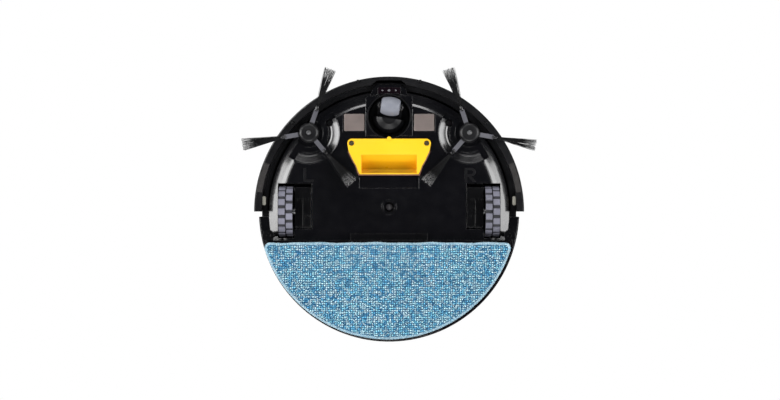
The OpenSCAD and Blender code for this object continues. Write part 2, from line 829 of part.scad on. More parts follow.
module caster_axle() {
    len = caster_w + 2 * (cheek_gap + cheek_t) + 1;
    color(steel) at_caster() translate([-len / 2, -caster_trail, caster_r])
        rotate([0, 90, 0]) cylinder(r = caster_pin_r, h = len);
}

module caster_wheel() {
    half = caster_w / 2;
    crown = [for (i = [-4 : 4]) let (t = i / 4) [caster_r - 1.9 * t * t, (half - 1) * t]];
    color([0.56, 0.57, 0.61]) at_caster() translate([0, -caster_trail, caster_r]) rotate([0, 90, 0])
        rotate_extrude() polygon([
            [caster_pin_r + run_fit, -half],
            [caster_r - 3.4, -half],
            each crown,
            [caster_r - 3.4, half],
            [caster_pin_r + run_fit, half]
        ]);
}

// ---------- bumper ----------

module bumper_section() {
    polygon([
        [lip_r, bumper_z], [bumper_r - 1.4, bumper_z], [bumper_r, bumper_z + 2],
        [bumper_r, bumper_top - 2.6], [bumper_r - 2.6, bumper_top], [top_flange_r, bumper_top],
        [top_flange_r, bumper_top - 2], [bumper_wall_r - 1, bumper_top - 2],
        [bumper_wall_r, bumper_top - 3], [bumper_wall_r, bumper_z + lip_t],
        [lip_r + 1.7, bumper_z + lip_t], [lip_r + 1.7, flange_z + flange_t],
        [flange_r, flange_z + flange_t], [flange_r, flange_z], [lip_r, flange_z]
    ]);
}

module bumper_shell() {
    color(black_plastic) difference() {
        union() {
            intersection() {
                rotate_extrude() bumper_section();
                half_space(0, true);
            }
            // walls that close the bumper's two ends
            intersection() {
                translate([0, 0, bumper_z + 0.2])
                    ring(bumper_r - 0.3, lip_r + 0.4, bumper_top - bumper_z - 0.4);
                box([-far, -2.2, 0], [far, 0, far]);
            }
            // ribs that meet the collision switches
            for (a = [-switch_a, switch_a - 180]) radial(a, top_flange_r)
                box([0, -1, bumper_top - 12], [bumper_wall_r - top_flange_r + 0.5, 1, bumper_top - 1]);
        }
        translate([0, 0, bumper_z - 1]) linear_extrude(flange_z - bumper_z + 1 - eps) polygon([
            [-notch_half_rear, -notch_rear + 2], [-notch_half_rear, -notch_rear],
            [-notch_half_front, -notch_front], [notch_half_front, -notch_front],
            [notch_half_rear, -notch_rear], [notch_half_rear, -notch_rear + 2]
        ]);
        // seat of the sensor window
        intersection() {
            translate([0, 0, window_z]) ring(bumper_r + 5, bumper_r - window_t, window_h);
            wedge(-90 - window_a, -90 + window_a, far);
        }
        both_sides() bumper_pad_arc(0.05, 0.9);
        both_sides() translate([34.5, -144.4, bumper_z - 1]) cylinder(r = 1.4, h = 6);
        both_sides() translate([107, -98.6, bumper_z - 1]) cylinder(r = 1.4, h = 6);
    }
}

module bumper_pad_arc(grow, depth) {
    intersection() {
        translate([0, 0, bumper_z - 0.6 - grow])
            ring(bumper_r - 1.6 + grow, lip_r + 0.8 - grow, 0.6 + depth + grow);
        wedge(-pad_a1 - grow / 2, -pad_a0 + grow / 2, far);
    }
}

module bumper_pads() {
    color([0.07, 0.07, 0.08]) both_sides() bumper_pad_arc(0, 0.85);
}

module bumper_window() {
    color([0.2, 0.03, 0.05]) intersection() {
        translate([0, 0, window_z + 0.05]) ring(bumper_r, bumper_r - window_t, window_h - 0.1);
        wedge(-90 - window_a + 0.02, -90 + window_a - 0.02, far);
    }
}

module bumper_guides() {
    color(ivory) both_sides() translate([139, -12, 21.4]) round_box(3.6, 10, flange_z - 21.4, 1.7);
}

module bumper_screws() {
    color(steel) both_sides() for (p = [[34.5, -144.4], [107, -98.6]])
        translate([p[0], p[1], bumper_z - 0.9]) screw(2, 0.9, 1.3, 3.8);
}

module bumper_springs() {
    start = -sqrt(pow(inner_wall_r, 2) - pow(spring_x - 4, 2)) - 0.2;
    end = -sqrt(pow(bumper_wall_r, 2) - pow(spring_x + 4, 2)) + 0.2;
    color(steel) both_sides() translate([spring_x, start, spring_z]) rotate([90, 0, 0])
        coil(3, 0.5, 6, start - end);
}

module bumper_switches() {
    color([0.2, 0.2, 0.22]) for (a = [-switch_a, switch_a - 180]) radial(a, 117) {
        box([0, -6.4, bumper_top - 13], [6, 6.4, bumper_top - 6]);
        box([0, -1.2, floor_top + 1.4], [2.4, 1.2, bumper_top - 12.9]);
    }
}

// ---------- electrics in the side wall ----------

module charge_jack() {
    color([0.15, 0.15, 0.16]) radial(jack_a, body_r) translate([-14.4, 0, jack_z]) rotate([0, 90, 0]) {
        difference() {
            cylinder(r = jack_body_r, h = 14);
            translate([0, 0, 3]) cylinder(r = jack_hole_r, h = 20);
        }
        translate([0, 0, 2]) cylinder(r = 1, h = 10);
    }
}

module switch_housing() {
    color([0.15, 0.15, 0.16]) radial(rocker_a, body_r) difference() {
        box([-13, -7.2, rocker_z - 4.5], [-0.6, 7.2, rocker_z + 4.5]);
        box([-11, -6, rocker_z - 3.4], [2, 6, rocker_z + 3.4]);
    }
}

// Rocker, shown with its nearer half pressed in
module power_switch() {
    color([0.6, 0.1, 0.1]) radial(rocker_a, body_r - 3.4) rotate([0, 0, 7]) {
        translate([0, 0, rocker_z - 3.1]) linear_extrude(6.2) polygon([
            [-3, -4.2], [3, -5.2], [2, 0], [3, 5.2], [-3, 4.2]
        ]);
        translate([0, 0, rocker_z - 3.3]) cylinder(r = 1.3, h = 6.6);
    }
}

// ---------- top ----------

module top_cover() {
    color(black_plastic) difference() {
        union() {
            rotate_extrude() polygon([
                [0, body_top - 2.4], [0, body_top], [body_r - 8, body_top],
                for (a = [15 : 15 : 90]) [body_r - 8 + 8 * sin(a), body_top - 6 + 6 * cos(a)],
                [body_r, body_top - 7], [124, body_top - 7], [122, body_top - 2.4]
            ]);
            intersection() {
                union() {
                    translate([0, 0, seam_z + 0.4]) ring(body_r, body_r - wall, body_top - 7 - seam_z);
                    intersection() {
                        translate([0, 0, seam_z + 0.4])
                            ring(body_r - 0.2, inner_wall_r + 0.3, body_top - 7.2 - seam_z);
                        box([-far, shoulder_y, 0], [far, shoulder_y + wall, far]);
                    }
                }
                half_space(shoulder_y, false);
            }
        }
        translate([0, 0, body_top - 0.9]) cylinder(r = 112.2, h = 5);
        translate([0, -56, body_top - 10]) cylinder(r = 12.4, h = 20);
        box([-bin_half - 1.5, 80, seam_z - 1], [bin_half + 1.5, far, bin_top + lid_t + 0.8]);
    }
}

module top_panel() {
    color([0.03, 0.03, 0.04]) difference() {
        translate([0, 0, body_top - 0.85]) cylinder(r = 112, h = 1);
        translate([0, -56, body_top - 5]) cylinder(r = 12.4, h = 20);
    }
}

module clean_button() {
    color([0.75, 0.76, 0.78]) translate([0, -56, 0]) {
        translate([0, 0, body_top - 4]) cylinder(r = 12, h = 5.4);
        translate([0, 0, 66.4]) cylinder(r = 2.6, h = body_top - 70);
    }
}

// ---------- dustbin ----------

module bin_outline(inset) {
    difference() {
        intersection() {
            translate([-bin_half + inset, bin_front + inset]) square([2 * (bin_half - inset), far]);
            circle(r = body_r - inset);
        }
        // clearance for the latch button
        if (inset > 0) translate([-16, body_r - 16]) square([32, far]);
    }
}

module dustbin() {
    color([0.13, 0.13, 0.14]) difference() {
        translate([0, 0, bin_z]) linear_extrude(bin_top - bin_z) bin_outline(0);
        translate([0, 0, bin_z + bin_wall]) linear_extrude(far) bin_outline(bin_wall);
        // way in from the duct, way out through the filter
        box([-24, bin_front - 1, 31.4], [24, bin_front + 4, 45]);
        box([fan_x - 10, bin_front - 1, fan_z + 19], [fan_x + 8, bin_front + 4, fan_z + 28]);
        // pocket of the latch button, and a finger hold under it
        box([-12.5, body_r - 12, 52.5], [12.5, far, 61.5]);
        translate([0, body_r + 2, 36]) rotate([0, 90, 0]) translate([0, 0, -30]) cylinder(r = 8, h = 60);
    }
}

module bin_lid() {
    color([0.2, 0.2, 0.22]) translate([0, 0, bin_top]) linear_extrude(lid_t) bin_outline(0);
}

module bin_filter() {
    color([0.9, 0.9, 0.88]) translate([0, bin_front + bin_wall + 0.1, fan_z + 16]) {
        for (x = [45.6 : 2 : 65.6]) box([x, 0, 0], [x + 1, 8, 14]);
        box([44, 0, -1], [67.9, 8, 0.1]);
        box([44, 0, 13.9], [67.9, 8, 15]);
    }
}

module bin_button() {
    color([0.3, 0.3, 0.32]) intersection() {
        box([-12.2, body_r - 8, 52.8], [12.2, far, 61.2]);
        cylinder(r = body_r, h = far);
    }
}

// ---------- mop ----------

module mop_plate() {
    color(soft_black) {
        difference() {
            translate([0, 0, mop_z]) linear_extrude(mop_top - mop_z) intersection() {
                circle(r = mop_r);
                translate([-far, mop_front]) square([2 * far, far]);
            }
            // shallow pockets save weight on the upper side
            for (x = [-66, 0, 66]) box([x - 28, 46, mop_top - 4], [x + 28, 100, mop_top + 1]);
        }
        box([-42.5, 24.4, plate_z - 3.6], [42.5, mop_front + 1, mop_top]);
        both_sides() {
            box([plug_x - 5, plug_y, mop_z + 1], [plug_x + 3.4, 38, mop_top]);
            translate([plug_x, plug_y, mop_top - 1]) cylinder(r = plug_pin_r, h = 17);
        }
    }
}

module mop_grips() {
    color([0.06, 0.06, 0.07]) both_sides() translate([plug_x, plug_y, mop_z - 1.4]) difference() {
        cylinder(r = plug_r, h = 2.4 - eps);
        translate([0, 0, -1]) cylinder(r = 2, h = 2);
        box([-8, 5.5, -1], [8, 8, 4]);
    }
}

module mop_cloth() {
    color(cloth_blue) translate([-cloth_shift, 0, mop_z - 0.3 - cloth_t]) linear_extrude(cloth_t)
        offset(r = cloth_corner_r) intersection() {
            circle(r = cloth_r - cloth_corner_r);
            translate([-far, cloth_front + cloth_corner_r]) square([2 * far, far]);
        }
}

chassis_base();
top_cover();
top_panel();
suction_inlet();
inlet_gasket();
inlet_screws();
suction_duct();
charge_contacts();
cliff_sensor_lens();
chassis_screws();
caster_cup();
battery_pack();
battery_lead();
main_board();
fan_housing();
fan_motor();
impeller();
brush_motor(-1);  // brush_motor_l
brush_motor(1);  // brush_motor_r
pivot_pins();
suspension_springs();
bumper_switches();
bumper_springs();
charge_jack();
switch_housing();
bumper_shell();
bumper_window();
bumper_pads();
bumper_guides();
bumper_screws();
wheel_arm(-1);  // wheel_arm_l
wheel_motor(-1);  // wheel_motor_l
wheel_axle(-1);  // wheel_axle_l
wheel_hub(-1);  // wheel_hub_l
tyre(-1);  // tyre_l
wheel_arm(1);  // wheel_arm_r
wheel_motor(1);  // wheel_motor_r
wheel_axle(1);  // wheel_axle_r
wheel_hub(1);  // wheel_hub_r
tyre(1);  // tyre_r
caster_fork();
caster_axle();
caster_wheel();
brush_hub(-1, brush_turn_l);  // brush_hub_l
brush_bristles(-1, brush_turn_l);  // brush_bristles_l
brush_screw(-1);  // brush_screw_l
brush_hub(1, brush_turn_r);  // brush_hub_r
brush_bristles(1, brush_turn_r);  // brush_bristles_r
brush_screw(1);  // brush_screw_r
clean_button();
power_switch();
dustbin();
bin_lid();
bin_filter();
bin_button();
mop_plate();
mop_grips();
mop_cloth();
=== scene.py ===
"""Looks of the robot vacuum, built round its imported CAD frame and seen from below."""
import math

import bpy
import numpy as np
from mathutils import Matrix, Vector


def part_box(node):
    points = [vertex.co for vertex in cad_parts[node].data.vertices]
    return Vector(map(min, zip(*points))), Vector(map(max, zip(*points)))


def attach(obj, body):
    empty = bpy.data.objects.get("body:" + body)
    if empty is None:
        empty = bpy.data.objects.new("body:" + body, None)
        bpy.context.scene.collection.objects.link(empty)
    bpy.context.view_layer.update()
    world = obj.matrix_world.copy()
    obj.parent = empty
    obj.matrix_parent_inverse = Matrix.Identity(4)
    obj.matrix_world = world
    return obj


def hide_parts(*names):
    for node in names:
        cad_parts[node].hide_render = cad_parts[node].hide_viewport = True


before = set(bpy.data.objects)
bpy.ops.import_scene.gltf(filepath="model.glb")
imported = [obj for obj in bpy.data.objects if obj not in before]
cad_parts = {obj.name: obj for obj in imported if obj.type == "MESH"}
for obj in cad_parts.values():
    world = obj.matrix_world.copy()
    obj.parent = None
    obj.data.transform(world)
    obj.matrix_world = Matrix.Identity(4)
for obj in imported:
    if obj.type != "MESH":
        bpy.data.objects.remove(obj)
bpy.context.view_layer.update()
rng = np.random.default_rng(11)
MM = 0.001


# ---- materials ----

class Finish:
    """One procedural material: node by node, on object coordinates in metres."""

    def __init__(self, name):
        self.mat = bpy.data.materials.new(name)
        self.mat.use_nodes = True
        self.tree = self.mat.node_tree
        self.shader = self.tree.nodes["Principled BSDF"]
        self.at = self.add("ShaderNodeTexCoord").outputs["Object"]

    def add(self, kind, inputs=None, **settings):
        node = self.tree.nodes.new(kind)
        for key, value in settings.items():
            setattr(node, key, value)
        for key, value in (inputs or {}).items():
            if isinstance(value, bpy.types.NodeSocket):
                self.tree.links.new(value, node.inputs[key])
            else:
                node.inputs[key].default_value = value
        return node

    def noise(self, scale, detail=4.0, stretch=(1, 1, 1), turn=0.0):
        at = self.add("ShaderNodeMapping", {"Vector": self.at, "Scale": stretch,
                                            "Rotation": (0, 0, turn)}).outputs[0]
        return self.add("ShaderNodeTexNoise", {"Vector": at, "Scale": scale, "Detail": detail}).outputs[0]

    def span(self, value, low, high, start=0.3, stop=0.7):
        node = self.add("ShaderNodeMapRange", {"Value": value, "From Min": start, "From Max": stop,
                                               "To Min": low, "To Max": high})
        return node.outputs[0]

    def mix(self, share, a, b):
        node = self.tree.nodes.new("ShaderNodeMix")
        node.data_type = "RGBA"
        for index, value in ((0, share), (6, a), (7, b)):
            if isinstance(value, bpy.types.NodeSocket):
                self.tree.links.new(value, node.inputs[index])
            else:
                node.inputs[index].default_value = value if index == 0 else (*value[:3], 1.0)
        return node.outputs[2]

    def maths(self, operation, a, b):
        return self.add("ShaderNodeMath", {0: a, 1: b}, operation=operation).outputs[0]

    def bump(self, height, strength, distance, under=None):
        inputs = {"Height": height, "Strength": strength, "Distance": distance}
        if under is not None:
            inputs["Normal"] = under
        return self.add("ShaderNodeBump", inputs).outputs[0]

    def edges(self, radius):
        return self.add("ShaderNodeBevel", {"Radius": radius}, samples=4).outputs[0]

    def set(self, **inputs):
        for key, value in inputs.items():
            socket = self.shader.inputs[key.replace("_", " ")]
            if isinstance(value, bpy.types.NodeSocket):
                self.tree.links.new(value, socket)
            elif isinstance(value, tuple):
                socket.default_value = (*value, 1.0)
            else:
                socket.default_value = value
        return self


def moulded(name, colour, rough, metal=0.0, mottle=0.2, grain=1500.0, depth=0.08, dust=0.04, edge=0.4 * MM,
            coat=0.0, streaks=0.3, dust_colour=(0.3, 0.28, 0.26), ior=1.5):
    """Plastic, rubber or metal: mottled colour, streaked gloss, moulded grain, a little dust, soft edges."""
    f = Finish(name)
    darker = tuple(c * (1 - mottle) for c in colour)
    lighter = tuple(min(1.0, c * (1 + mottle)) for c in colour)
    body = f.mix(f.span(f.noise(22.0), 0.0, 1.0), darker, lighter)
    specks = f.span(f.noise(650.0, 2.0), 0.0, dust, 0.58, 0.72)
    patches = f.span(f.noise(14.0, 6.0), 0.0, 1.0, 0.42, 0.68)
    body = f.mix(f.maths("MULTIPLY", specks, patches), body, dust_colour)
    smears = f.noise(28.0, 5.0, (1.0, 2.5, 1.0), 0.5)
    gloss = f.maths("ADD", f.span(smears, -rough * streaks * 0.5, rough * streaks),
                    f.span(f.noise(90.0), rough * 0.92, rough * 1.12))
    normal = f.bump(f.noise(grain, 3.0), depth, 0.05 * MM, f.edges(edge))
    normal = f.bump(f.noise(30.0, 2.0), 0.02, 0.2 * MM, normal)
    f.set(Base_Color=body, Roughness=gloss, Metallic=metal, Normal=normal, Coat_Weight=coat,
          Coat_Roughness=0.08, IOR=ior)
    return f


def brushed(name, colour, rough, angle=0.0, mottle=0.12):
    """Plated or turned metal with fine parallel brush marks and rubbed spots."""
    f = Finish(name)
    lines = f.noise(260.0, 5.0, (1.0, 22.0, 1.0), angle)
    worn = f.span(f.noise(60.0, 5.0), 0.0, 1.0)
    darker = tuple(c * (1 - mottle * 2) for c in colour)
    body = f.mix(worn, f.mix(lines, darker, colour), tuple(min(1, c * (1 + mottle)) for c in colour))
    f.set(Base_Color=body, Metallic=1.0, Roughness=f.span(lines, rough * 0.8, rough * 1.3),
          Normal=f.bump(lines, 0.15, 0.05 * MM, f.edges(0.25 * MM)))
    return f


WAVE_PERIOD = 0.314  # of the wave texture at scale 1, in metres


def grooved(f, angle, pitch, strength, normal=None, wander=0.4):
    """Fine parallel ribs: their height, and the normal bumped by them."""
    at = f.add("ShaderNodeMapping", {"Vector": f.at, "Rotation": (0, 0, angle)}).outputs[0]
    wave = {"Vector": at, "Scale": WAVE_PERIOD / pitch, "Distortion": wander, "Detail": 1.0,
            "Detail Scale": 1.5}
    ribs = f.add("ShaderNodeTexWave", wave).outputs[1]
    return ribs, f.bump(ribs, strength, 0.3 * MM, normal)


def woven(name, colour, light, pitch):
    """Pads with a coarse crossed weave."""
    f = Finish(name)
    one, normal = grooved(f, 0.78, pitch, 0.6, f.edges(0.3 * MM))
    two, normal = grooved(f, -0.78, pitch, 0.6, normal)
    body = f.mix(f.maths("MULTIPLY", one, two), colour, light)
    f.set(Base_Color=f.mix(f.span(f.noise(160.0), 0.0, 0.5), body, colour),
          Roughness=f.span(f.noise(300.0), 0.6, 0.85), Normal=normal)
    return f


def speckled(name, tones, rough, cell, sheen, rows_at=2.5 * MM, row_shade=0.0):
    """Microfibre yarn: each loop has its own tone, paler in large streaky patches, with painted shade darker
    between the rows.
    """
    f = Finish(name)
    cells = f.add("ShaderNodeTexVoronoi", {"Vector": f.at, "Scale": 1.0 / cell, "Randomness": 1.0})
    grey = f.add("ShaderNodeSeparateColor", {0: cells.outputs["Color"]}).outputs[0]
    ramp = f.add("ShaderNodeValToRGB", {"Fac": grey})
    ramp.color_ramp.interpolation = "LINEAR"
    while len(ramp.color_ramp.elements) < len(tones):
        ramp.color_ramp.elements.new(0.5)
    for element, (place, tone) in zip(ramp.color_ramp.elements, tones):
        element.position, element.color = place, (*tone, 1.0)
    fuzz = f.span(f.noise(1800.0, 2.0), 0.0, 0.35)
    body = f.mix(fuzz, ramp.outputs[0], tones[len(tones) // 2][1])
    body = f.mix(f.span(f.noise(30.0, 5.0, (0.6, 1.6, 1.0)), 0.0, 0.42), body, tones[-2][1])
    # painted shade: darker between the rows and columns of loops, towards the darkest tone
    if row_shade:
        rows, _ = grooved(f, 0.0, rows_at, 0.1, wander=2.4)
        columns, _ = grooved(f, math.pi / 2, rows_at, 0.1, wander=2.4)
        body = f.mix(f.span(f.maths("MULTIPLY", rows, columns), row_shade, 0.0, 0.0, 0.32), body, tones[0][1])
    f.set(Base_Color=body, Roughness=f.span(f.noise(400.0), rough * 0.9, rough), Sheen_Weight=sheen,
          Sheen_Roughness=0.45, Normal=f.bump(f.noise(4000.0, 2.0), 0.3, 0.05 * MM))
    return f


def banded(f, centre, mask, near, start, stop, far=None):
    """Colours a finish by distance from an axis: near inside start, far beyond stop."""
    flat = f.add("ShaderNodeVectorMath", {0: f.at, 1: mask}, operation="MULTIPLY").outputs[0]
    point = tuple(c * m for c, m in zip(centre, mask))
    away = f.add("ShaderNodeVectorMath", {0: flat, 1: point}, operation="DISTANCE").outputs["Value"]
    share = f.span(away, 0.0, 1.0, start, stop)
    body = f.shader.inputs["Base Color"].links[0].from_socket if far is None else far
    f.set(Base_Color=f.mix(share, near, body))
    return f


def middle_of(node):
    low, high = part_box(node)
    return tuple((low + high) / 2)


black = moulded("black_gloss", (0.0012, 0.0012, 0.0022), 0.22, grain=2400.0, depth=0.015, dust=0.004,
                coat=0.5, ior=1.85, streaks=0.05)
shell_black = moulded("black_satin", (0.004, 0.004, 0.005), 0.36, grain=1700.0, depth=0.08, dust=0.01,
                      ior=1.45, streaks=0.15)
arm_black = moulded("black_arm", (0.0015, 0.0015, 0.002), 0.24, grain=1800.0, depth=0.02, dust=0.01, ior=1.6,
                    streaks=0.1)
soft_black = moulded("black_matte", (0.009, 0.009, 0.010), 0.5, grain=1300.0, depth=0.2)
yellow = moulded("inlet_yellow", (0.86, 0.50, 0.010), 0.34, mottle=0.04, grain=1600.0, depth=0.05, dust=0.12,
                 dust_colour=(0.5, 0.36, 0.12))
gasket = moulded("gasket_foam", (0.22, 0.105, 0.075), 0.8, grain=900.0, depth=0.5)
plates = brushed("contact_plates", (0.56, 0.47, 0.44), 0.42, 1.57)
steel = brushed("machine_steel", (0.62, 0.62, 0.64), 0.28, 0.3)
dark_steel = brushed("screw_steel", (0.30, 0.29, 0.30), 0.3, 0.9)
brass = brushed("inlet_screw_plating", (0.34, 0.28, 0.16), 0.34, 0.9)
lens = moulded("filter_window", (0.006, 0.003, 0.005), 0.1, mottle=0.1, depth=0.01, dust=0.02, coat=0.3)
groove_shaded_treads = {}
for side in "lr":
    rubber = moulded("tyre_rubber_" + side, (0.15, 0.15, 0.19), 0.62, mottle=0.25, grain=900.0, depth=0.35,
                     dust=0.25, dust_colour=(0.42, 0.41, 0.44))
    # the tyre is darker within 26.6 mm of the axle: painted shade in the grooves between the lugs
    groove_shaded_treads[side] = banded(rubber, middle_of("tyre_" + side), (0, 1, 1), (0.016, 0.016, 0.02),
                          26.6 * MM, 27.9 * MM)
hub_grey = moulded("wheel_plastic", (0.02, 0.02, 0.022), 0.4, depth=0.12)
roller = moulded("caster_rubber", (0.19, 0.20, 0.235), 0.42, mottle=0.1, grain=900.0, depth=0.12, dust=0.3,
                 dust_colour=(0.5, 0.5, 0.5))
brush_black = moulded("brush_hub_black", (0.004, 0.004, 0.005), 0.22, depth=0.05, ior=1.7, dust=0.01)
brush_hubs = {}
for side in "lr":
    # grey on the arms beyond 12.4 mm from the axis: painted reflection of light on their flat faces over
    # black plastic; the hub inside stays black
    arms = moulded("brush_hub_" + side, (0.085, 0.085, 0.098), 0.36, mottle=0.25, depth=0.1, dust=0.1)
    brush_hubs[side] = banded(arms, middle_of("brush_screw_" + side), (1, 1, 0), (0.004, 0.004, 0.005),
                              11.4 * MM, 12.4 * MM)
ivory = moulded("ivory_plastic", (0.36, 0.35, 0.30), 0.42, mottle=0.06, depth=0.08)
pads = woven("bumper_weave", (0.006, 0.005, 0.005), (0.06, 0.052, 0.05), 1.5 * MM)
wrap = moulded("battery_wrap", (0.03, 0.12, 0.35), 0.28, depth=0.05)
wire = moulded("wire_cover", (0.45, 0.03, 0.03), 0.4)
board = moulded("board_green", (0.015, 0.12, 0.045), 0.35, depth=0.1)
pale = moulded("pale_plastic", (0.62, 0.62, 0.58), 0.45, mottle=0.06)
top_gloss = moulded("top_gloss", (0.010, 0.010, 0.014), 0.1, depth=0.01, coat=0.6, dust=0.02)
silver = moulded("satin_silver", (0.52, 0.53, 0.55), 0.32, metal=0.6, mottle=0.06)
red = moulded("rocker_red", (0.36, 0.02, 0.02), 0.38)
smoke = moulded("smoked_plastic", (0.03, 0.03, 0.036), 0.16, depth=0.03)
paper = moulded("filter_paper", (0.66, 0.66, 0.62), 0.85, mottle=0.08, depth=0.4)
# loop tones from dark blue to near white: partly the yarn's own random tone, partly painted shade and painted
# highlights on the loops
BLUE = [(0.0, (0.001, 0.045, 0.14)), (0.18, (0.02, 0.29, 0.66)), (0.3, (0.16, 0.66, 1.0)),
        (0.46, (0.44, 0.94, 1.0)), (0.6, (0.84, 1.0, 1.0))]
yarn = speckled("microfibre_yarn", BLUE, 0.95, 2.4 * MM, 0.08, row_shade=0.9)
# the backing sheet's blue, darker than the yarn, is painted shade showing between the loops of the pile
SHADED_BACKING = [(0.0, (0.01, 0.08, 0.18)), (0.5, (0.03, 0.17, 0.32)), (1.0, (0.10, 0.33, 0.52))]
backing = speckled("microfibre_backing", SHADED_BACKING, 0.95, 1.6 * MM, 0.2)
THREAD = [(0.0, (0.20, 0.40, 0.54)), (0.5, (0.38, 0.58, 0.68)), (1.0, (0.66, 0.80, 0.85))]
thread = speckled("sewing_thread", THREAD, 0.9, 1.2 * MM, 0.3)

FINISHES = {
    black: "chassis_base", shell_black: "top_cover bumper_shell caster_cup caster_fork",
    arm_black: "wheel_arm_l wheel_arm_r bumper_screws mop_plate mop_grips",
    top_gloss: "top_panel", yellow: "suction_inlet", gasket: "inlet_gasket", plates: "charge_contacts",
    dark_steel: "chassis_screws caster_axle", brass: "inlet_screws", lens: "cliff_sensor_lens bumper_window",
    steel: "brush_screw_l brush_screw_r fan_motor pivot_pins suspension_springs bumper_springs wheel_motor_l "
           "wheel_motor_r wheel_axle_l wheel_axle_r",
    soft_black: "suction_duct fan_housing bumper_switches charge_jack switch_housing "
                "brush_motor_l brush_motor_r",
    hub_grey: "wheel_hub_l wheel_hub_r", groove_shaded_treads["l"]: "tyre_l", groove_shaded_treads["r"]: "tyre_r", roller: "caster_wheel",
    brush_hubs["l"]: "brush_hub_l", brush_hubs["r"]: "brush_hub_r", ivory: "bumper_guides",
    pads: "bumper_pads", wrap: "battery_pack",
    wire: "battery_lead", board: "main_board", pale: "impeller", silver: "clean_button bin_button",
    red: "power_switch", smoke: "dustbin bin_lid", paper: "bin_filter",
}
for finish, names in FINISHES.items():
    for name in names.split():
        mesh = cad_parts[name].data
        mesh.materials.clear()
        mesh.materials.append(finish.mat)


# ---- mesh helpers ----

def piece(name, verts, faces, finish, body, slot, smooth=True):
    mesh = bpy.data.meshes.new(name)
    mesh.from_pydata(np.asarray(verts, float).tolist(), [], faces)
    mesh.polygons.foreach_set("use_smooth", [smooth] * len(mesh.polygons))
    mesh.materials.append(finish.mat)
    mesh.update()
    made = bpy.data.objects.new(name, mesh)
    bpy.context.scene.collection.objects.link(made)
    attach(made, body)
    return made


def tubes(paths, radii, sides):
    """Closed round tubes along many lines. paths is lines x points x 3, and radii is lines x points."""
    count, steps = paths.shape[:2]
    along = np.gradient(paths, axis=1)
    along /= np.linalg.norm(along, axis=2, keepdims=True) + 1e-12
    guide = np.cross(paths[:, -1] - paths[:, 0], paths[:, steps // 2] - paths[:, 0])
    flat = np.linalg.norm(guide, axis=1) < 1e-10
    guide[flat] = (0.13, 0.21, 1.0)
    side = np.cross(along, guide[:, None, :])
    side /= np.linalg.norm(side, axis=2, keepdims=True) + 1e-12
    other = np.cross(along, side)
    turn = np.arange(sides) * 2 * math.pi / sides
    ring = (np.cos(turn)[:, None] * side[:, :, None, :] + np.sin(turn)[:, None] * other[:, :, None, :])
    verts = (paths[:, :, None, :] + radii[:, :, None, None] * ring).reshape(-1, 3)
    faces = []
    for n in range(count):
        start = n * steps * sides
        for k in range(steps - 1):
            a, b = start + k * sides, start + (k + 1) * sides
            faces += [(a + i, a + (i + 1) % sides, b + (i + 1) % sides, b + i) for i in range(sides)]
        faces.append(tuple(start + sides - 1 - i for i in range(sides)))
        faces.append(tuple(start + (steps - 1) * sides + i for i in range(sides)))
    return verts, faces


# ---- mop cloth: a sewn sheet, its looped pile and its overlocked edge ----

cloth_low, cloth_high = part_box("mop_cloth")
cloth_x = (cloth_low.x + cloth_high.x) / 2
front_y = cloth_low.y + 0.6 * MM
arc_r = cloth_high.y + 0.8 * MM
arc_y = -1.3 * MM
corner_r = 6 * MM


def corner_centre():
    """Centre of the right-hand rounded corner, and the direction of that centre from the arc's own."""
    y = front_y + corner_r
    x = math.sqrt((arc_r - corner_r) ** 2 - (y - arc_y) ** 2)
    return x, y, math.atan2(y - arc_y, x)


def cloth_outline(count):
    """Points round the cloth: a chord in front with a slight wave, rounded corners, then the arc."""
    corner_x, corner_y, tilt = corner_centre()
    points = []
    for x in np.linspace(-corner_x, corner_x, 160)[1:-1]:
        points.append((x, front_y + 0.35 * MM * math.sin(x * 95) + 0.25 * MM * math.sin(x * 210 + 1)))
    for a in np.linspace(-math.pi / 2, tilt, 26):
        points.append((corner_x + corner_r * math.cos(a), corner_y + corner_r * math.sin(a)))
    for a in np.linspace(tilt, math.pi - tilt, 320)[1:-1]:
        points.append((arc_r * math.cos(a), arc_y + arc_r * math.sin(a)))
    for a in np.linspace(math.pi - tilt, math.pi * 1.5, 26):
        points.append((-corner_x + corner_r * math.cos(a), corner_y + corner_r * math.sin(a)))
    line = np.array(points)
    length = np.r_[0, np.cumsum(np.linalg.norm(np.roll(line, -1, 0) - line, axis=1))]
    line = np.vstack([line, line[:1]])
    places = np.linspace(0, length[-1], count, endpoint=False)
    line = np.stack([np.interp(places, length, line[:, k]) for k in (0, 1)], axis=1)
    return line + (cloth_x, 0), length[-1]


rim, rim_length = cloth_outline(560)
following = np.roll(rim, -1, 0) - np.roll(rim, 1, 0)
following /= np.linalg.norm(following, axis=1, keepdims=True)
outward = np.stack([following[:, 1], -following[:, 0]], axis=1)
middle = np.array([cloth_x, (front_y + arc_r) / 2 - 5 * MM])


def swell(x, y):
    """How far the cloth's working side bulges, in metres: soft hills of the batting inside."""
    return 0.12 * MM * (np.sin(x * 61 + 0.4) + np.sin(y * 83 + 1.1) + np.sin((x + y) * 47))


